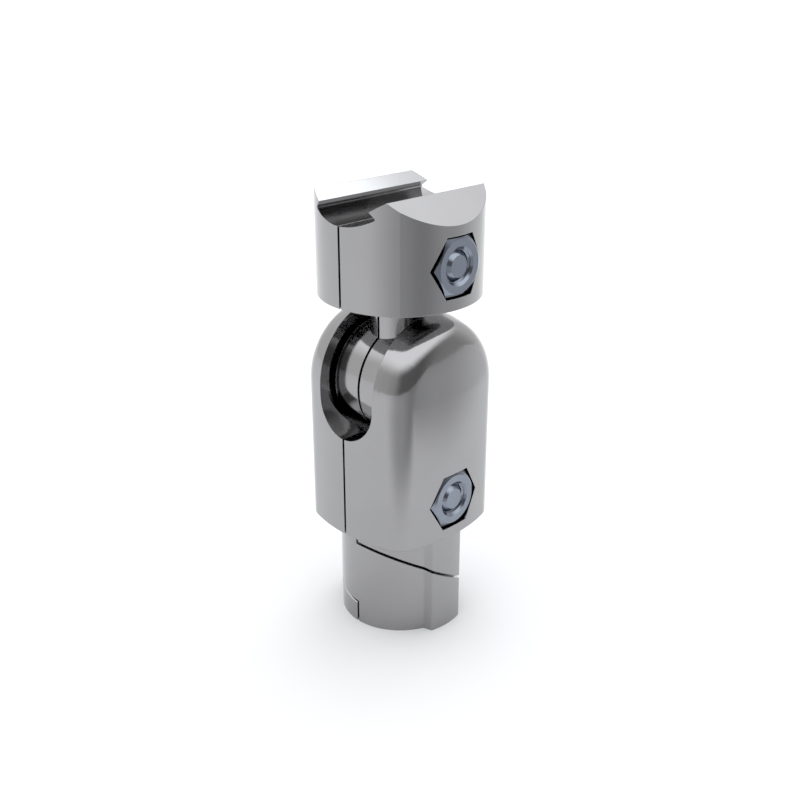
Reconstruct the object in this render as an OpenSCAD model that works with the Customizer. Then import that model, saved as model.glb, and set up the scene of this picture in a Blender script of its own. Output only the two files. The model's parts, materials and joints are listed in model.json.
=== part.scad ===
// Swivel angle connector for round profile tube.
// A split housing plugs into one tube with an expanding stub.
// A split head clamps the groove of a second tube and swings 180 degrees on the housing.
// The head swings about the Y axis, both clamp screws lie along Y, and +Z is up the stub.
// The origin is the centre of the stub's lower end.

/* [Castings] */
// Width of housing and head across the middle of their crowned faces
cast_w = 29; // [28.8:0.1:32]
// Slit that is left open between two clamp halves
seam = 0.5; // [0.45:0.05:0.8]

/* [Housing] */
// Radius of the housing's crowned faces
body_crown_r = 33.5; // [30:0.5:60]
// Radius of the housing's upright corners
body_r = 5.5; // [4:0.1:6.5]
// Height of the housing from its shoulder to the swivel axis
body_h = 27.7; // [26:0.1:40]
// Height of the lower clamp screw above the shoulder
body_screw_h = 7.35; // [7:0.05:9]

/* [Stub] */
// Length of the stub that goes into the tube
stub_h = 20.8; // [18:0.1:30]
// Radius of the stub
stub_r = 11.6; // [11:0.1:12]
// Radius over the two key ribs
rib_r = 13.1; // [12.6:0.1:13.3]
// Width of a key rib at its foot
rib_w = 8.6; // [6:0.1:9]
// Width that a key rib loses from foot to crown
rib_taper = 1.2; // [0.6:0.1:2]
// Slope of the slit where the halves cross over in the stub, in degrees
cross_angle = 30; // [20:1:32]

/* [Swivel] */
// Radius of the swivel disc
disc_r = 10.6; // [10:0.1:11]
// Thickness of the swivel disc
disc_w = 12.4; // [11.8:0.1:12.6]
// Radius of the hub on each side of the disc
hub_r = 8; // [7:0.1:9]
// Length of the hub on each side of the disc
hub_h = 1.55; // [1.3:0.05:2]
// Radius of the neck between disc and head
neck_r = 5.5; // [5:0.1:5.7]
// Width of the slot that the neck swings through
slot_w = 13.6; // [13.2:0.1:13.8]
// Radius of the round chamber for the disc
chamber_r = 12; // [11.6:0.1:12.4]
// Depth of the round chamber in the wall of the slot
chamber_step = 0.3; // [0.2:0.05:0.6]
// Distance from the swivel axis to the flat underside of the head
reach = 16.5; // [16:0.1:20]
// Radial running clearance of the hub in its seat
hub_play = 0.05; // [0.02:0.01:0.1]

/* [Head] */
// Radius of the head's crowned faces, which meet in upright edges
head_crown_r = 16.5; // [15.5:0.1:20]
// Height of the head from its underside to the jaw ridges
head_h = 19.15; // [19:0.05:24]
// Height of the saddle floor above the underside of the head
saddle_h = 14.4; // [14.2:0.1:16]
// Radius of the tube that the saddle fits
tube_r = 15; // [14.5:0.1:16]
// Height of the upper clamp screw above the underside of the head
head_screw_h = 7.5; // [7.2:0.1:8]

/* [Jaws] */
// Distance between the two jaw ridges
ridge_gap = 17.7; // [17:0.1:19]
// Distance between the two jaw tips
tip_gap = 12.2; // [11:0.1:13]
// Distance between the undercut roots behind the tips
root_gap = 14.2; // [13.6:0.1:15]
// Drop from ridge to tip
tip_drop = 1.65; // [1.2:0.05:2]
// Drop from tip to undercut root
root_drop = 1; // [0.6:0.05:1.2]
// Slope of the jaws' outer faces, in degrees
jaw_slope = 38.5; // [30:0.5:42]

/* [Clamp screws] */
// Radius of the screw thread
thread_r = 3; // [3:0.1:3.2]
// Length of a screw under its head
screw_l = 20; // [20:0.5:21]
// Chamfer at the screw's free end
end_chamfer = 1.05; // [0.4:0.05:1.2]
// Radius of the screw head
cap_r = 5; // [4.8:0.1:5]
// Height of the screw head
cap_h = 6; // [5:0.1:6.4]
// Width across flats of the key socket
socket_af = 5; // [4:0.5:5]
// Depth of the key socket
socket_h = 3; // [2:0.1:3.5]
// Depth of the screw head's seat from the seam plane
seat_y = 5.8; // [5.7:0.1:7]
// Radial clearance round the screw shank
hole_play = 0.3; // [0.2:0.05:0.4]
// Radial clearance round the screw head
cap_play = 0.5; // [0.3:0.05:0.5]
// Running clearance of the screw in its nut
thread_play = 0.05; // [0.02:0.01:0.1]

/* [Nuts] */
// Width across flats of a nut
nut_af = 10; // [9.8:0.1:10.2]
// Thickness of a nut
nut_h = 5; // [4.6:0.1:5.2]
// Diameter of the flat ring on a nut's faces
nut_ring = 9.2; // [8.8:0.1:9.6]
// Diameter of the countersink at a nut's thread
nut_sink = 6.9; // [6.6:0.1:7.2]
// Width across flats of a nut pocket
pocket_af = 10.8; // [10.6:0.1:11]
// Depth of a nut's outer face below the middle of its clamp half's face
nut_set = 0.2; // [0.1:0.05:0.8]

/* [Hidden] */
$fn = 96;
// Colours of the two finishes
cast_grey = [0.62, 0.62, 0.64];
zinc_blue = [0.52, 0.56, 0.62];
// A length that reaches past every face
far = 60;
// A cut's overrun past the face that it opens
over = 1;
half_seam = seam / 2;
// Heights above the stub's lower end
axis_z = stub_h + body_h;
body_screw_z = stub_h + body_screw_h;
head_z = axis_z + reach;
ridge_z = head_z + head_h;
floor_z = head_z + saddle_h;
tube_z = floor_z + tube_r;
head_screw_z = head_z + head_screw_h;
// The slot's round lower end leaves a floor as thick as the neck needs when it lies flat
slot_r = slot_w / 2;
slot_end_drop = 1.35;
slot_end_z = axis_z - slot_end_drop;
// Half thicknesses of the swivel, measured from the seam plane
disc_y = disc_w / 2;
hub_y = disc_y + hub_h;
chamber_y = slot_r + chamber_step;
// Room for the hub to move out when the head is unclamped
hub_travel = 0.35;
hub_floor_y = hub_y + hub_travel;
// The two slopes in the stub meet on the axis, halfway along it
cross_z = stub_h * 0.53;
cross_gap = half_seam / cos(cross_angle);
cross_rise = tan(cross_angle);
// Jaw outline, measured from the seam plane
ridge_y = ridge_gap / 2;
tip_y = tip_gap / 2;
root_y = root_gap / 2;
tip_z = ridge_z - tip_drop;
root_z = tip_z - root_drop;
root_floor_z = tube_z - sqrt(tube_r * tube_r - root_y * root_y);
brow_y = cast_w / 2 + over;
brow_z = ridge_z - (brow_y - ridge_y) * tan(jaw_slope);
// Screws and nuts, measured from the seam plane
screw_gap = 0.05;
cap_seat_y = seat_y + screw_gap;
screw_end_y = cap_seat_y - screw_l;
hole_r = thread_r + hole_play;
counterbore_r = cap_r + cap_play;
nut_bore_r = thread_r + thread_play;
body_nut_y = -(cast_w / 2 - nut_set);
head_nut_y = -(cast_w / 2 - nut_set);
cap_chamfer = 0.5;
socket_cone = 0.8;
nut_corner_r = nut_af / sqrt(3);
// A nut's corners are cut back at 30 degrees from the flat ring
nut_chamfer = (nut_corner_r - nut_ring / 2) * tan(30);

// Square with four crowned faces that meet in sharp corners: w is its width across the
// middle of two faces, and crown_r is the radius of each face
module crowned_square(w, crown_r) {
    shift = crown_r - w / 2;
    intersection() {
        translate([shift, 0])
            circle(r = crown_r);
        translate([-shift, 0])
            circle(r = crown_r);
        translate([0, shift])
            circle(r = crown_r);
        translate([0, -shift])
            circle(r = crown_r);
    }
}

// The housing's outline: a crowned square whose corners are rounded
module housing_outline() {
    shift = body_crown_r - cast_w / 2;
    inner_r = body_crown_r - body_r;
    // Each corner disc touches two faces from inside
    corner = (sqrt(2 * inner_r * inner_r - shift * shift) - shift) / 2;
    face_half = corner * body_crown_r / inner_r;
    intersection() {
        crowned_square(cast_w, body_crown_r);
        union() {
            square([2 * face_half, cast_w + over], center = true);
            square([cast_w + over, 2 * face_half], center = true);
        }
    }
    for (sx = [-1, 1])
        for (sy = [-1, 1])
            translate([sx * corner, sy * corner])
                circle(r = body_r);
}

// Turns a profile drawn as (Y, Z) so that it is extruded along X through the whole part
module along_x(length) {
    rotate([90, 0, 90])
        translate([0, 0, -length / 2])
            linear_extrude(length)
                children();
}

// Turns a profile drawn as (X, Z) so that it is extruded along Y, from y0 to y1
module along_y(y0, y1) {
    translate([0, y1, 0])
        rotate([90, 0, 0])
            linear_extrude(y1 - y0)
                children();
}

// A round bar or hole along Y, from y0 to y1, at height z
module rod_y(r, y0, y1, z) {
    translate([0, y1, z])
        rotate([90, 0, 0])
            cylinder(r = r, h = y1 - y0);
}

// A hexagonal bar or hole along Y with its corners left and right
module hex_y(af, y0, y1, z) {
    translate([0, y1, z])
        rotate([90, 0, 0])
            cylinder(r = af / sqrt(3), h = y1 - y0, $fn = 6);
}

// The side of the seam plane that a half keeps: -1 is the front, 1 the rear
module one_side(side) {
    intersection() {
        children();
        translate([0, side * (far / 2 + half_seam), axis_z])
            cube([far, far, 3 * far], center = true);
    }
}

// Upright block of the housing, topped by the same outline turned about the swivel axis
module housing_outer() {
    translate([0, 0, stub_h])
        linear_extrude(body_h)
            housing_outline();
    translate([0, 0, axis_z])
        rotate([90, 0, 0])
            rotate_extrude(angle = 180)
                intersection() {
                    housing_outline();
                    translate([0, -cast_w / 2])
                        square([cast_w / 2, cast_w]);
                }
}

// Round stub with its two tapered key ribs
module stub_outer() {
    cylinder(r = stub_r, h = stub_h);
    intersection() {
        cylinder(r = rib_r, h = stub_h);
        linear_extrude(stub_h)
            for (side = [-1, 1])
                scale([1, side])
                    polygon([[-rib_w / 2, 0], [rib_w / 2, 0],
                             [rib_w / 2, stub_r * cos(asin(rib_w / 2 / stub_r))],
                             [(rib_w - rib_taper) / 2, rib_r],
                             [-(rib_w - rib_taper) / 2, rib_r],
                             [-rib_w / 2, stub_r * cos(asin(rib_w / 2 / stub_r))]]);
    }
}

// Area above a slope that falls towards +X, drawn as (X, Z)
module above_slope() {
    polygon([[-far, cross_z + far * cross_rise + cross_gap],
             [far, cross_z - far * cross_rise + cross_gap],
             [far, 3 * far], [-far, 3 * far]]);
}

// Area below a slope that rises towards +X, drawn as (X, Z)
module below_slope() {
    polygon([[-far, cross_z - far * cross_rise - cross_gap],
             [far, cross_z + far * cross_rise - cross_gap],
             [far, -3 * far], [-far, -3 * far]]);
}

// The share of the stub that belongs to the front half: its upper front, its lower rear,
// and the wedge at +X that joins them across the seam plane
module stub_share() {
    intersection() {
        stub_outer();
        union() {
            along_y(-far, -half_seam)
                above_slope();
            along_y(half_seam, far)
                below_slope();
            along_y(-half_seam - over, half_seam + over)
                intersection() {
                    above_slope();
                    below_slope();
                }
        }
    }
}

// Slot for the neck, over the top of the housing from one side to the other
module neck_slot() {
    along_x(far)
        translate([0, slot_end_z]) {
            circle(r = slot_r);
            translate([-slot_r, 0])
                square([slot_w, far]);
        }
}

// One housing half without its screw seat, as the front one
module housing_casting() {
    difference() {
        one_side(-1)
            housing_outer();
        neck_slot();
        rod_y(chamber_r, -chamber_y, chamber_y, axis_z);
        rod_y(hub_r + hub_play, -hub_floor_y, hub_floor_y, axis_z);
        rod_y(hole_r, -far, far, body_screw_z);
    }
    stub_share();
}

module housing_half_front() {
    color(cast_grey)
        difference() {
            housing_casting();
            hex_y(pocket_af, -far, body_nut_y + nut_h, body_screw_z);
        }
}

module housing_half_rear() {
    color(cast_grey)
        difference() {
            rotate([0, 0, 180])
                housing_casting();
            rod_y(counterbore_r, seat_y, far, body_screw_z);
        }
}

// Jaw outline of one half, drawn as (Y, Z) with Y measured away from the seam plane
module jaw_profile() {
    polygon([[root_y, head_z], [brow_y, head_z], [brow_y, brow_z],
             [ridge_y, ridge_z], [tip_y, tip_z], [root_y, root_z]]);
    difference() {
        translate([-over, head_z])
            square([root_y + over + 0.01, root_floor_z - head_z]);
        translate([0, tube_z])
            circle(r = tube_r);
    }
}

// One head half without its screw seat: clamp block, neck, half disc and hub
module head_casting(side) {
    one_side(side) {
        intersection() {
            translate([0, 0, head_z])
                linear_extrude(head_h + over)
                    crowned_square(cast_w, head_crown_r);
            along_x(far)
                scale([side, 1])
                    jaw_profile();
        }
        translate([0, 0, axis_z])
            cylinder(r = neck_r, h = reach + over);
        rod_y(disc_r, -disc_y, disc_y, axis_z);
        rod_y(hub_r, -hub_y, hub_y, axis_z);
    }
}

module head_half_front() {
    color(cast_grey)
        difference() {
            head_casting(-1);
            rod_y(hole_r, -far, far, head_screw_z);
            hex_y(pocket_af, -far, head_nut_y + nut_h, head_screw_z);
        }
}

module head_half_rear() {
    color(cast_grey)
        difference() {
            head_casting(1);
            rod_y(hole_r, -far, far, head_screw_z);
            rod_y(counterbore_r, seat_y, far, head_screw_z);
        }
}

// Socket head cap screw along Y with its head at +Y
module clamp_screw(z) {
    color(zinc_blue)
        translate([0, 0, z])
            rotate([-90, 0, 0])
                difference() {
                    rotate_extrude()
                        polygon([[0, screw_end_y],
                                 [thread_r - end_chamfer, screw_end_y],
                                 [thread_r, screw_end_y + end_chamfer],
                                 [thread_r, cap_seat_y], [cap_r, cap_seat_y],
                                 [cap_r, cap_seat_y + cap_h - cap_chamfer],
                                 [cap_r - cap_chamfer, cap_seat_y + cap_h],
                                 [0, cap_seat_y + cap_h]]);
                    translate([0, 0, cap_seat_y + cap_h - socket_h])
                        cylinder(r = socket_af / sqrt(3), h = socket_h + over, $fn = 6);
                    translate([0, 0, cap_seat_y + cap_h - socket_h - socket_cone])
                        cylinder(r1 = 0, r2 = socket_af / 2, h = socket_cone);
                }
}

// Hexagon nut along Y, chamfered at both faces, with its outer face at y
module clamp_nut(y, z) {
    color(zinc_blue)
        translate([0, y, z])
            rotate([-90, 0, 0])
                difference() {
                    intersection() {
                        cylinder(r = nut_corner_r, h = nut_h, $fn = 6);
                        rotate_extrude()
                            polygon([[0, 0], [nut_ring / 2, 0],
                                     [nut_corner_r, nut_chamfer],
                                     [nut_corner_r, nut_h - nut_chamfer],
                                     [nut_ring / 2, nut_h], [0, nut_h]]);
                    }
                    rotate_extrude()
                        polygon([[0, -over], [nut_sink / 2 + over, -over],
                                 [nut_bore_r, nut_sink / 2 - nut_bore_r],
                                 [nut_bore_r, nut_h - nut_sink / 2 + nut_bore_r],
                                 [nut_sink / 2 + over, nut_h + over], [0, nut_h + over]]);
                }
}

module housing_clamp_screw() {
    clamp_screw(body_screw_z);
}

module housing_clamp_nut() {
    clamp_nut(body_nut_y, body_screw_z);
}

module head_clamp_screw() {
    clamp_screw(head_screw_z);
}

module head_clamp_nut() {
    clamp_nut(head_nut_y, head_screw_z);
}

housing_half_front();
housing_half_rear();
head_half_front();
head_half_rear();
housing_clamp_screw();
housing_clamp_nut();
head_clamp_screw();
head_clamp_nut();
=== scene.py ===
# %% [markdown]
# # A swivel angle connector, dressed for its picture
#
# The connector joins two round profile tubes at an angle. Two cast halves make the housing, whose
# split stub goes into the end of one tube. Two smaller cast halves make the head, whose jaws grip
# the groove of the other tube. A screw and a nut pull each pair together.
#
# The solids come from the CAD model and keep their shape and place. This script gives them their
# finish, puts finely made screws and nuts where the plain ones are, and lights the whole.
# Everything is in metres. +Z points up the stub, and both screws lie along Y.

# %% Load the model
import json
import math
from collections import Counter

import bpy
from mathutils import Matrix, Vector

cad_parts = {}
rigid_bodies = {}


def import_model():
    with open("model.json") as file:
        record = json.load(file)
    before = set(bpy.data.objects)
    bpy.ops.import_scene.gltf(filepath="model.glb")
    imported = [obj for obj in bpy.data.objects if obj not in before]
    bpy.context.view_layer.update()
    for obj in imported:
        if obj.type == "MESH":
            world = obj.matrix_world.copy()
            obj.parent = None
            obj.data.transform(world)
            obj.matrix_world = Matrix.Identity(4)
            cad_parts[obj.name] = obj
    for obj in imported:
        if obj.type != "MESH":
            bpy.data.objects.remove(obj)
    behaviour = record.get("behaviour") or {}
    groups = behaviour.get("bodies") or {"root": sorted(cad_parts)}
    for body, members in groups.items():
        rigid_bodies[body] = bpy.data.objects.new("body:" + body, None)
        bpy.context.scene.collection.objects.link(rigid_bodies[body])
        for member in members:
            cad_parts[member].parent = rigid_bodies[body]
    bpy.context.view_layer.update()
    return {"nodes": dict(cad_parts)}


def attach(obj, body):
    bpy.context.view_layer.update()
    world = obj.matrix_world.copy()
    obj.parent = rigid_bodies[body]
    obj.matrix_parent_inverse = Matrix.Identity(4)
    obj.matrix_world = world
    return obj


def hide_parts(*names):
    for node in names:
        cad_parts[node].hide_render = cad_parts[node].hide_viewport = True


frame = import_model()
MM = 0.001
print("nodes:", ", ".join(frame["nodes"]))

# %% [markdown]
# ## Two small helpers for every finish
#
# Colours are easiest to choose as the hex values that a screen shows, but a shader counts in
# linear light. One function turns the first into the second. A second function adds a node with
# its settings and its links in one line, so that a finish reads from top to bottom. A Mix node
# keeps sockets for numbers and vectors too, so its colour sockets are found by their number.

# %% Colour and node helpers
def linear(hex_colour):
    """Turns a screen colour such as "a9a9ad" into linear light, with alpha 1."""
    out = []
    for i in (0, 2, 4):
        c = int(hex_colour[i:i + 2], 16) / 255
        out.append(c / 12.92 if c <= 0.04045 else ((c + 0.055) / 1.055) ** 2.4)
    return (*out, 1.0)


def add_node(tree, kind, inputs=None, **settings):
    """Adds a node, sets its properties, and gives each input a value or a link."""
    node = tree.nodes.new(kind)
    for name, value in settings.items():
        setattr(node, name, value)
    for name, value in (inputs or {}).items():
        if isinstance(value, bpy.types.NodeSocket):
            tree.links.new(value, node.inputs[name])
        else:
            node.inputs[name].default_value = value
    return node


COLOUR_A = 6
COLOUR_B = 7
COLOUR_OUT = 2
print("mid grey 808080 is", round(linear("808080")[0], 3), "in linear light")

# %% [markdown]
# ## Die-cast aluminium
#
# The four castings are bare die-cast aluminium. The die's polished steel leaves a smooth skin
# with a soft gloss, and the melt's flow leaves clouds in it, a few millimetres wide and barely
# lighter or darker. Tumbling after the casting adds a grain too fine to see one by one, so it is
# drawn a little coarser than life, at a third of a millimetre, where it just breaks up the gloss.

# %% The finish of the castings
def die_cast_aluminium():
    cloud_width = 6 * MM
    grain_width = 0.3 * MM
    edge_break = 0.15 * MM
    mat = bpy.data.materials.new("die_cast_aluminium")
    mat.use_nodes = True
    tree = mat.node_tree
    tree.nodes.clear()
    here = add_node(tree, "ShaderNodeTexCoord").outputs["Object"]
    # The scale of a noise is one over its size in metres
    clouds = add_node(tree, "ShaderNodeTexNoise", {
        "Vector": here, "Scale": 1 / cloud_width, "Detail": 3.0})
    tint = add_node(tree, "ShaderNodeMix", {
        "Factor": clouds.outputs["Fac"], COLOUR_A: linear("9b9a9b"), COLOUR_B: linear("a1a0a1")},
        data_type="RGBA")
    grain = add_node(tree, "ShaderNodeTexNoise", {
        "Vector": here, "Scale": 1 / grain_width, "Detail": 2.0})
    gloss = add_node(tree, "ShaderNodeMapRange", {
        "Value": grain.outputs["Fac"], "To Min": 0.10, "To Max": 0.15})
    # Tumbling breaks every edge a little, which catches a thin line of light
    edges = add_node(tree, "ShaderNodeBevel", {"Radius": edge_break}, samples=6)
    bump = add_node(tree, "ShaderNodeBump", {
        "Height": grain.outputs["Fac"], "Strength": 0.04, "Distance": 0.02 * MM,
        "Normal": edges.outputs["Normal"]})
    shader = add_node(tree, "ShaderNodeBsdfPrincipled", {
        "Base Color": tint.outputs[COLOUR_OUT], "Roughness": gloss.outputs["Result"],
        "Normal": bump.outputs["Normal"], "Metallic": 1.0})
    add_node(tree, "ShaderNodeOutputMaterial", {"Surface": shader.outputs["BSDF"]})
    return mat


CASTING = die_cast_aluminium()
for name in ("housing_half_front", "housing_half_rear", "head_half_front", "head_half_rear"):
    casting = frame["nodes"][name]
    casting.data.materials.clear()
    casting.data.materials.append(CASTING)
    print(name, "is", CASTING.name)

# %% [markdown]
# ## Clean shading on the housing halves
#
# The outer face of each housing half is a surface of revolution about the swivel axis, and all its
# strips meet in one point there. The shading of such a point is easily off and shows as a speck.
# So each half is copied, its doubled corners are merged, and its smooth faces are shaded afresh.
# The form stays as it is, and the CAD half itself isn't touched.

# %% Reshade the housing halves
for name, body in (("housing_half_front", "housing_front"), ("housing_half_rear", "housing_rear")):
    half = frame["nodes"][name].copy()
    half.data = frame["nodes"][name].data.copy()
    half.name = name + "_smooth"
    bpy.context.scene.collection.objects.link(half)
    bpy.ops.object.select_all(action="DESELECT")
    bpy.context.view_layer.objects.active = half
    half.select_set(True)
    bpy.ops.object.parent_clear(type="CLEAR_KEEP_TRANSFORM")
    bpy.ops.mesh.customdata_custom_splitnormals_clear()
    bpy.ops.object.mode_set(mode="EDIT")
    bpy.ops.mesh.select_all(action="SELECT")
    bpy.ops.mesh.remove_doubles(threshold=0.001 * MM)
    bpy.ops.mesh.normals_make_consistent(inside=False)
    bpy.ops.object.mode_set(mode="OBJECT")
    bpy.ops.object.shade_smooth_by_angle(angle=math.radians(16))
    even = half.modifiers.new("even_shading", "WEIGHTED_NORMAL")
    even.keep_sharp = True
    bpy.ops.object.modifier_apply(modifier=even.name)
    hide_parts(name)
    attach(half, body)
    print(half.name, "has", len(half.data.vertices), "corners")

# %% [markdown]
# ## Zinc-plated steel
#
# The screws and nuts are steel with a thin bright zinc plate. It is bluer than the castings and
# a little glossier, with faint streaks where the parts rubbed against each other in the barrel.

# %% The finish of the screws and nuts
def zinc_plated_steel():
    rub_width = 1.5 * MM
    mat = bpy.data.materials.new("zinc_plated_steel")
    mat.use_nodes = True
    tree = mat.node_tree
    tree.nodes.clear()
    here = add_node(tree, "ShaderNodeTexCoord").outputs["Object"]
    rubs = add_node(tree, "ShaderNodeTexNoise", {"Vector": here, "Scale": 1 / rub_width, "Detail": 3.0})
    tint = add_node(tree, "ShaderNodeMix", {
        "Factor": rubs.outputs["Fac"], COLOUR_A: linear("818792"), COLOUR_B: linear("8a909c")},
        data_type="RGBA")
    gloss = add_node(tree, "ShaderNodeMapRange", {
        "Value": rubs.outputs["Fac"], "To Min": 0.12, "To Max": 0.2})
    shader = add_node(tree, "ShaderNodeBsdfPrincipled", {
        "Base Color": tint.outputs[COLOUR_OUT], "Roughness": gloss.outputs["Result"], "Metallic": 1.0})
    add_node(tree, "ShaderNodeOutputMaterial", {"Surface": shader.outputs["BSDF"]})
    return mat


ZINC = zinc_plated_steel()
for name in ("housing_clamp_screw", "housing_clamp_nut", "head_clamp_screw", "head_clamp_nut"):
    part = frame["nodes"][name]
    part.data.materials.clear()
    part.data.materials.append(ZINC)
    print(name, "is", ZINC.name)

# %% [markdown]
# ## A lathe and a saw
#
# Screws and nuts are turned parts with a few cuts. The lathe helper draws a profile from a single
# point, extrudes it from corner to corner, and spins it about the Y axis. The other helper cuts
# one piece with another, or joins them, and takes the tool away afterwards.

# %% Turning and cutting
def turned(name, profile, steps=96):
    """Turns a profile of (radius, place along Y) corners in millimetres about the Y axis."""
    bpy.ops.object.select_all(action="DESELECT")
    bpy.ops.mesh.primitive_plane_add(size=MM, location=(0.0, 0.0, 0.0))
    piece = bpy.context.active_object
    piece.name = name
    bpy.ops.object.mode_set(mode="EDIT")
    bpy.ops.mesh.select_all(action="SELECT")
    bpy.ops.mesh.merge(type="CENTER")
    radius, place = profile[0]
    bpy.ops.transform.translate(value=(radius * MM, place * MM, 0.0))
    for (r0, y0), (r1, y1) in zip(profile, profile[1:]):
        step = ((r1 - r0) * MM, (y1 - y0) * MM, 0.0)
        bpy.ops.mesh.extrude_region_move(TRANSFORM_OT_translate={"value": step})
    bpy.ops.mesh.select_all(action="SELECT")
    bpy.ops.mesh.spin(steps=steps, angle=2 * math.pi, center=(0.0, 0.0, 0.0), axis=(0.0, 1.0, 0.0))
    bpy.ops.mesh.select_all(action="SELECT")
    bpy.ops.mesh.remove_doubles(threshold=0.001 * MM)
    bpy.ops.mesh.normals_make_consistent(inside=False)
    bpy.ops.object.mode_set(mode="OBJECT")
    return piece


def shape_with(piece, tool, operation):
    """Cuts, joins or crops the piece with the tool, and takes the tool away."""
    step = piece.modifiers.new("shape", "BOOLEAN")
    step.operation = operation
    step.solver = "EXACT"
    step.object = tool
    bpy.ops.object.select_all(action="DESELECT")
    bpy.context.view_layer.objects.active = piece
    piece.select_set(True)
    bpy.ops.object.modifier_apply(modifier=step.name)
    bpy.data.objects.remove(tool, do_unlink=True)


def prism(name, across_flats, start, length):
    """A hexagonal bar along Y, with corners to the left and right."""
    bpy.ops.object.select_all(action="DESELECT")
    bpy.ops.mesh.primitive_cylinder_add(
        vertices=6, radius=across_flats / math.sqrt(3) * MM, depth=length * MM,
        location=(0.0, (start + length / 2) * MM, 0.0),
        rotation=(math.radians(90), math.radians(30), 0.0))
    bpy.ops.object.transform_apply(location=True, rotation=True, scale=True)
    bar = bpy.context.active_object
    bar.name = name
    return bar


print("lathe ready")

# %% [markdown]
# ## The thread
#
# An M6 thread climbs 1 mm with each turn. It is a ridge wound round the axis: a small four-sided
# profile that a screw modifier carries along, with its two open ends closed afterwards.

# %% Winding a thread
PITCH = 1.0
FOOT_HALF = 0.42
CREST_HALF = 0.07
STEPS_IN_A_TURN = 48
# Where the screw's ridge starts along Y. The nut's tap starts a whole number of turns from it
THREAD_START = -14.85


def thread_ridge(name, foot, crest, start, turns):
    """A wound ridge along Y whose foot and crest are radii in millimetres."""
    bpy.ops.object.select_all(action="DESELECT")
    bpy.ops.mesh.primitive_plane_add(size=MM, location=(0.0, 0.0, 0.0))
    ridge = bpy.context.active_object
    ridge.name = name
    profile = [(foot, -FOOT_HALF), (crest, -CREST_HALF), (foot, FOOT_HALF), (crest, CREST_HALF)]
    for corner, (r, y) in zip(ridge.data.vertices, profile):
        corner.co = (r * MM, (start + y) * MM, 0.0)
    wind = ridge.modifiers.new("wind", "SCREW")
    wind.axis = "Y"
    wind.screw_offset = PITCH * MM
    wind.iterations = turns
    wind.steps = STEPS_IN_A_TURN
    wind.render_steps = STEPS_IN_A_TURN
    bpy.ops.object.modifier_apply(modifier=wind.name)
    bpy.ops.object.mode_set(mode="EDIT")
    bpy.ops.mesh.select_all(action="SELECT")
    bpy.ops.mesh.remove_doubles(threshold=0.001 * MM)
    bpy.ops.mesh.fill_holes(sides=4)
    bpy.ops.mesh.select_all(action="SELECT")
    bpy.ops.mesh.normals_make_consistent(inside=False)
    bpy.ops.object.mode_set(mode="OBJECT")
    return ridge


print("thread pitch", PITCH, "mm")

# %% [markdown]
# ## The nut
#
# A hexagon bar, 10 mm across its flats, is cut to 5 mm and its corners are chamfered at both
# faces, so a flat ring is left on each. After a countersink at each face, a tap cuts the bore and
# its thread. The tap is a little larger than the screw, and its ridge is in step with the screw's.

# %% Make the nut
NUT_FACE = -14.3
NUT_HEIGHT = 5.0
NUT_BACK = NUT_FACE + NUT_HEIGHT
NUT_FLATS = 10.0
RING_R = 4.75
# Just past the corners, so the chamfer ends on them
CORNER_R = 5.78
NUT_CHAMFER = 0.6
TAP_R = 2.72
# How far a cutting tool reaches past what it cuts
OVER = 1.0

# The bar is longer than the nut, so that only the turned blank makes the two faces
nut = prism("clamp_nut", NUT_FLATS, NUT_FACE - OVER, NUT_HEIGHT + 2 * OVER)
blank = turned("nut_blank", [
    (0.0, NUT_FACE), (RING_R, NUT_FACE), (CORNER_R, NUT_FACE + NUT_CHAMFER),
    (CORNER_R, NUT_BACK - NUT_CHAMFER), (RING_R, NUT_BACK), (0.0, NUT_BACK)])
shape_with(nut, blank, "INTERSECT")
for face, inward in ((NUT_FACE, 1), (NUT_BACK, -1)):
    # A 45 degree cone, 3.45 mm in radius at the face, that goes on outside the nut
    outside = face - inward * 2 * OVER
    sink_end = face + inward * 0.9
    sink = turned("sink", [(0.0, outside), (5.45, outside), (2.55, sink_end), (0.0, sink_end)])
    shape_with(nut, sink, "DIFFERENCE")
tap = turned("tap", [
    (0.0, NUT_FACE - 3 * OVER), (TAP_R, NUT_FACE - 3 * OVER),
    (TAP_R, NUT_BACK + 3 * OVER), (0.0, NUT_BACK + 3 * OVER)])
shape_with(tap, thread_ridge("tap_thread", TAP_R - 0.1, 3.1, THREAD_START - PITCH, 8), "UNION")
shape_with(nut, tap, "DIFFERENCE")
print("nut:", len(nut.data.polygons), "faces")

# %% [markdown]
# ## The screw
#
# The M6 x 20 screw begins with its shank: a core with the thread wound on it, cropped to an
# outline whose tip is chamfered. Core and thread start longer than that, because a cut through
# the middle of a form comes out cleaner than one along its end face.

# %% Make the screw's shank
SEAT = 5.85
SHANK = 20.0
HEAD_HEIGHT = 6.0
TIP = SEAT - SHANK
TOP = SEAT + HEAD_HEIGHT
THREAD_R = 3.0
CORE_R = 2.62
TIP_CHAMFER = 1.05
# The shank ends a little inside the head, so that the two join cleanly
ROOT = SEAT + 0.2

screw = turned("clamp_screw", [
    (0.0, TIP - 2 * OVER), (CORE_R, TIP - 2 * OVER), (CORE_R, SEAT + 2 * OVER), (0.0, SEAT + 2 * OVER)])
shape_with(screw, thread_ridge("screw_thread", 2.5, THREAD_R, THREAD_START, 20), "UNION")
outline = turned("outline", [
    (0.0, TIP), (THREAD_R - TIP_CHAMFER, TIP), (THREAD_R, TIP + TIP_CHAMFER),
    (THREAD_R, SEAT - 0.3), (THREAD_R + 0.1, ROOT), (0.0, ROOT)])
shape_with(screw, outline, "INTERSECT")
print("shank:", len(screw.data.polygons), "faces")

# %% [markdown]
# ## The screw's head
#
# The head is cold-formed, with a knurl round it and a hexagon socket for the key. The knurl is a
# cylinder with every second edge pressed in a little, cropped to the head's chamfered outline.

# %% Make the screw's head
HEAD_R = 5.0
KNURL_SIDES = 120
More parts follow.
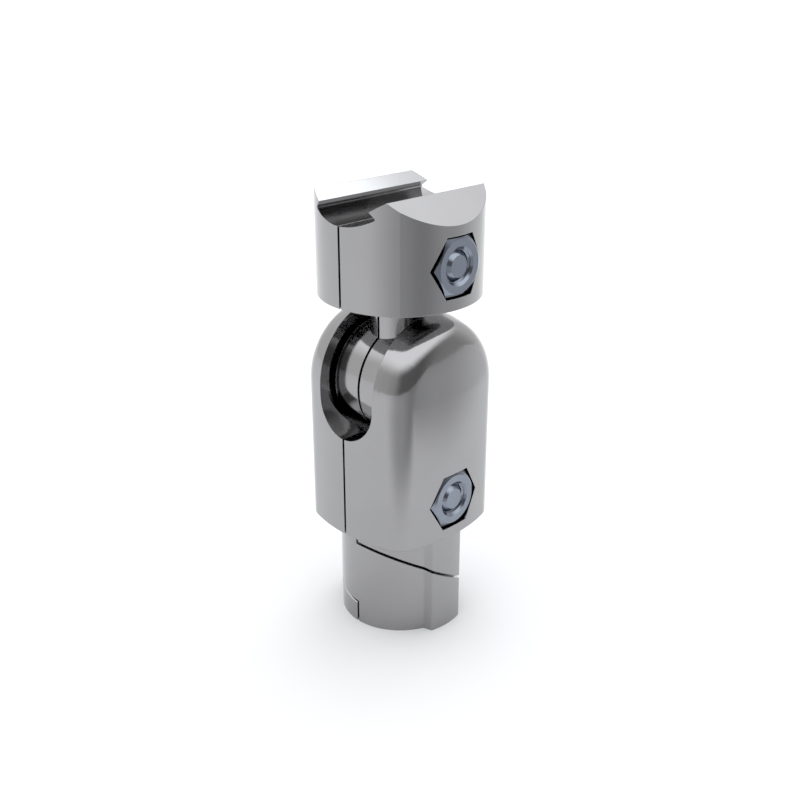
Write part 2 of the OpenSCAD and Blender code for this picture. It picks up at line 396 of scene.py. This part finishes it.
# The grooves of the knurl lie at this share of the head's radius
GROOVE_SHARE = 0.972
KEY_FLATS = 5.0
KEY_DEPTH = 3.0

bpy.ops.object.select_all(action="DESELECT")
bpy.ops.mesh.primitive_cylinder_add(
    vertices=KNURL_SIDES, radius=HEAD_R * MM, depth=(HEAD_HEIGHT + 2 * OVER) * MM,
    location=(0.0, (SEAT + HEAD_HEIGHT / 2) * MM, 0.0), rotation=(math.radians(90), 0.0, 0.0))
bpy.ops.object.transform_apply(location=True, rotation=True, scale=True)
head = bpy.context.active_object
head.name = "screw_head"
bpy.ops.object.mode_set(mode="EDIT")
bpy.ops.mesh.select_all(action="DESELECT")
bpy.ops.object.mode_set(mode="OBJECT")
for i, corner in enumerate(head.data.vertices):
    # The cylinder numbers its corners in pairs, one on each end, so every second pair is a groove
    corner.select = (i // 2) % 2 == 1
bpy.ops.object.mode_set(mode="EDIT")
bpy.ops.transform.resize(value=(GROOVE_SHARE, 1.0, GROOVE_SHARE), center_override=(0.0, 0.0, 0.0))
bpy.ops.object.mode_set(mode="OBJECT")
head_outline = turned("head_outline", [
    (0.0, SEAT), (HEAD_R - 0.25, SEAT), (HEAD_R, SEAT + 0.25),
    (HEAD_R, TOP - 0.5), (HEAD_R - 0.5, TOP), (0.0, TOP)])
shape_with(head, head_outline, "INTERSECT")
shape_with(head, prism("socket", KEY_FLATS, TOP - KEY_DEPTH, KEY_DEPTH + OVER), "DIFFERENCE")
# The cone that the punch leaves under the socket, and the countersink at its mouth
floor_of_key = TOP - KEY_DEPTH + 0.1
socket_bottom = turned("socket_bottom", [(0.0, TOP - 3.8), (2.45, floor_of_key), (0.0, floor_of_key)])
shape_with(head, socket_bottom, "DIFFERENCE")
socket_mouth = turned("socket_mouth", [
    (0.0, TOP + OVER), (4.28, TOP + OVER), (2.55, TOP - 0.35), (0.0, TOP - 0.35)])
shape_with(head, socket_mouth, "DIFFERENCE")
shape_with(screw, head, "UNION")
print("screw:", len(screw.data.polygons), "faces")

# %% [markdown]
# ## Clean meshes
#
# Each cut leaves a few slivers where two surfaces nearly meet. They don't show, but they spoil a
# mesh that someone prints or measures. They are cleared before the pieces are copied, and the
# edges that don't lie between exactly two faces are counted. There should be none.

# %% Clean the screw and the nut
for model in (nut, screw):
    bpy.ops.object.select_all(action="DESELECT")
    bpy.context.view_layer.objects.active = model
    model.select_set(True)
    bpy.ops.object.mode_set(mode="EDIT")
    # Close corners are merged and flat leftovers dissolved, before and after the many-sided faces
    # are split into triangles
    for _ in range(2):
        bpy.ops.mesh.select_all(action="SELECT")
        bpy.ops.mesh.remove_doubles(threshold=0.004 * MM)
        bpy.ops.mesh.dissolve_degenerate(threshold=0.002 * MM)
        bpy.ops.mesh.delete_loose()
        bpy.ops.mesh.select_all(action="SELECT")
        bpy.ops.mesh.quads_convert_to_tris(quad_method="BEAUTY", ngon_method="BEAUTY")
    bpy.ops.mesh.select_all(action="SELECT")
    bpy.ops.mesh.normals_make_consistent(inside=False)
    bpy.ops.object.mode_set(mode="OBJECT")
    model.data.materials.clear()
    model.data.materials.append(ZINC)
    bpy.ops.object.shade_smooth_by_angle(angle=math.radians(18))
    uses = Counter(edge for face in model.data.polygons for edge in face.edge_keys)
    print(model.name, "has", len(model.data.polygons), "faces and",
          sum(1 for count in uses.values() if count != 2), "open edges")

# %% [markdown]
# ## A pair for the housing and a pair for the head
#
# Both pairs are the same size. The first is moved up to the housing's screw line, and a copy with
# a mesh of its own goes to the head's. Each piece rides on the body of the CAD part it replaces.

# %% Place the screws and nuts
SCREW_LINES = {"housing": 28.15, "head": 72.5}
BODIES = {("housing", "nut"): "housing_front", ("housing", "screw"): "housing_screw",
          ("head", "nut"): "head_front", ("head", "screw"): "head_screw"}
for kind, model in (("nut", nut), ("screw", screw)):
    for where, line in SCREW_LINES.items():
        piece = model
        if where == "head":
            piece = model.copy()
            piece.data = model.data.copy()
            bpy.context.scene.collection.objects.link(piece)
        piece.name = f"{where}_threaded_{kind}"
        lift = line if where == "housing" else line - SCREW_LINES["housing"]
        bpy.ops.object.select_all(action="DESELECT")
        bpy.context.view_layer.objects.active = piece
        piece.select_set(True)
        bpy.ops.transform.translate(value=(0.0, 0.0, lift * MM))
        bpy.ops.object.transform_apply(location=True, rotation=True, scale=True)
        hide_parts(f"{where}_clamp_{kind}")
        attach(piece, BODIES[where, kind])
        print(piece.name, "rides on", BODIES[where, kind])

# %% [markdown]
# ## The camera
#
# The picture looks down on the connector at 23 degrees, across its front left corner. The image
# is 800 by 800, and the camera stands 0.21 m away, so the perspective is strong.

# %% Set up the camera
camera_data = bpy.data.cameras.new("camera")
camera_data.sensor_width = 36.0
camera_data.sensor_fit = "HORIZONTAL"
camera_data.lens = 46.32
camera_data.clip_start = 0.01
camera = bpy.data.objects.new("camera", camera_data)
camera.location = (-0.12646, -0.12646, 0.11925)
camera.rotation_euler = (math.radians(67.13), 0.0, math.radians(-45.0))
bpy.context.scene.collection.objects.link(camera)
bpy.context.scene.camera = camera
print("camera at", tuple(round(v, 3) for v in camera.location))

# %% [markdown]
# ## A studio for bare metal
#
# Bare metal has hardly any colour of its own: it shows the room. So every ray meets the same
# room, the camera's rays and the metal's alike. The world is a pale
# tent. A radial gradient turns with the compass, and a ramp turns it into greys, darker on the
# camera's right where a studio has no lamp. A second ramp brightens the tent towards the top.

# %% The world
def grey(ramp, stops):
    """Fills a colour ramp with (place, grey level in linear light) pairs."""
    ramp.interpolation = "EASE"
    while len(ramp.elements) > 1:
        ramp.elements.remove(ramp.elements[-1])
    for i, (place, level) in enumerate(stops):
        stop = ramp.elements[0] if i == 0 else ramp.elements.new(place)
        stop.position = place
        stop.color = (level, level, level, 1.0)


bpy.context.scene.view_settings.view_transform = "Standard"
world = bpy.data.worlds.new("studio")
world.use_nodes = True
bpy.context.scene.world = world
sky = world.node_tree
sky.nodes.clear()
ray = add_node(sky, "ShaderNodeTexCoord").outputs["Generated"]
# Turned so that 0.5 on the ramp points from the connector to the camera
CAMERA_SIDE = math.radians(225.0)
turn = add_node(sky, "ShaderNodeMapping", {
    "Vector": ray, "Rotation": (0.0, 0.0, -CAMERA_SIDE)}, vector_type="POINT")
compass = add_node(sky, "ShaderNodeTexGradient", {
    "Vector": turn.outputs["Vector"]}, gradient_type="RADIAL")
sides = add_node(sky, "ShaderNodeValToRGB", {"Fac": compass.outputs["Fac"]})
grey(sides.color_ramp, [
    (0.0, 0.95), (0.25, 0.95), (0.40, 0.60), (0.50, 0.22),
    (0.62, 0.20), (0.75, 0.45), (0.88, 0.90), (1.0, 0.95)])
height = add_node(sky, "ShaderNodeSeparateXYZ", {"Vector": ray})
tops = add_node(sky, "ShaderNodeValToRGB", {"Fac": height.outputs["Z"]})
grey(tops.color_ramp, [(0.0, 0.0), (0.42, 0.0), (0.74, 1.0), (1.0, 1.0)])
tent = add_node(sky, "ShaderNodeMix", {
    "Factor": tops.outputs["Color"], COLOUR_A: sides.outputs["Color"], COLOUR_B: (1.73, 1.76, 1.79, 1.0)},
    data_type="RGBA")
glow = add_node(sky, "ShaderNodeBackground", {"Color": tent.outputs[COLOUR_OUT], "Strength": 1.0})
add_node(sky, "ShaderNodeOutputWorld", {"Surface": glow.outputs["Background"]})
print("world:", world.name)

# %% [markdown]
# ## One soft lamp
#
# A square softbox hangs high behind the connector, to the camera's right. The sloping faces of
# the jaws are turned so that they show it, which makes them the brightest faces of the picture.

# %% Hang the softbox
lamp_data = bpy.data.lights.new("softbox", "AREA")
lamp_data.shape = "SQUARE"
lamp_data.size = 0.5
lamp_data.energy = 1.4
lamp_data.color = (0.88, 0.95, 1.0)
softbox = bpy.data.objects.new("softbox", lamp_data)
lamp_turn = CAMERA_SIDE + math.radians(165.0)
lamp_lift = math.radians(64.0)
# One metre from the connector, and aimed at it
softbox.location = Vector((
    math.cos(lamp_turn) * math.cos(lamp_lift),
    math.sin(lamp_turn) * math.cos(lamp_lift),
    math.sin(lamp_lift)))
softbox.rotation_euler = (-softbox.location).to_track_quat("-Z", "Y").to_euler()
bpy.context.scene.collection.objects.link(softbox)
print("softbox at", tuple(round(v, 2) for v in softbox.location))

# %% [markdown]
# ## The floor
#
# The connector stands on graded background paper, as photographers use for bare metal. It is
# white under the part and behind it. Past the picture's edge, in front and to the right, it
# fades to grey, because upright metal walls mirror the floor before them, and the grey is what
# draws their curves. The metal mirrors this paper and its soft shadow as they are.

# %% Lay the floor
PAPER_WHITE = 0.78

bpy.ops.object.select_all(action="DESELECT")
bpy.ops.mesh.primitive_plane_add(size=24.0, location=(0.0, 0.0, 0.0))
floor = bpy.context.active_object
floor.name = "floor"
paper = bpy.data.materials.new("graded_background_paper")
paper.use_nodes = True
tree = paper.node_tree
tree.nodes.clear()
spot = add_node(tree, "ShaderNodeTexCoord").outputs["Object"]
# Turned so that X points to the camera and Y to the picture's right
facing = add_node(tree, "ShaderNodeMapping", {
    "Vector": spot, "Rotation": (0.0, 0.0, -CAMERA_SIDE)}, vector_type="POINT")
around = add_node(tree, "ShaderNodeTexGradient", {
    "Vector": facing.outputs["Vector"]}, gradient_type="RADIAL")
tones = add_node(tree, "ShaderNodeValToRGB", {"Fac": around.outputs["Fac"]})
grey(tones.color_ramp, [
    (0.0, PAPER_WHITE), (0.34, PAPER_WHITE), (0.50, 0.44), (0.60, 0.31),
    (0.70, 0.45), (0.85, 0.70), (1.0, PAPER_WHITE)])
ahead = add_node(tree, "ShaderNodeSeparateXYZ", {"Vector": facing.outputs["Vector"]})
# White up to 56 mm in front of the part's axis, fully graded from 100 mm on
front = add_node(tree, "ShaderNodeMapRange", {
    "Value": ahead.outputs["X"], "From Min": 56 * MM, "From Max": 100 * MM},
    interpolation_type="SMOOTHSTEP")
# The picture's right edge crosses the floor where Y + 0.358 X is 82 mm, and the grey starts past it
aside = add_node(tree, "ShaderNodeVectorMath", {
    0: facing.outputs["Vector"], 1: (0.358, 1.0, 0.0)}, operation="DOT_PRODUCT")
right = add_node(tree, "ShaderNodeMapRange", {
    "Value": aside.outputs["Value"], "From Min": 86 * MM, "From Max": 135 * MM},
    interpolation_type="SMOOTHSTEP")
fade = add_node(tree, "ShaderNodeMath", {
    0: front.outputs["Result"], 1: right.outputs["Result"]}, operation="MAXIMUM")
sheet = add_node(tree, "ShaderNodeMix", {
    "Factor": fade.outputs["Value"], COLOUR_A: (PAPER_WHITE, PAPER_WHITE, PAPER_WHITE, 1.0),
    COLOUR_B: tones.outputs["Color"]}, data_type="RGBA")
shade = add_node(tree, "ShaderNodeBsdfDiffuse", {"Color": sheet.outputs[COLOUR_OUT]})
add_node(tree, "ShaderNodeOutputMaterial", {"Surface": shade.outputs["BSDF"]})
floor.data.materials.append(paper)
print("floor laid")

# %% [markdown]
# ## Finish

# The dressed model has to stay inside the CAD model's box.

# %% Finish
print("scene dressed")
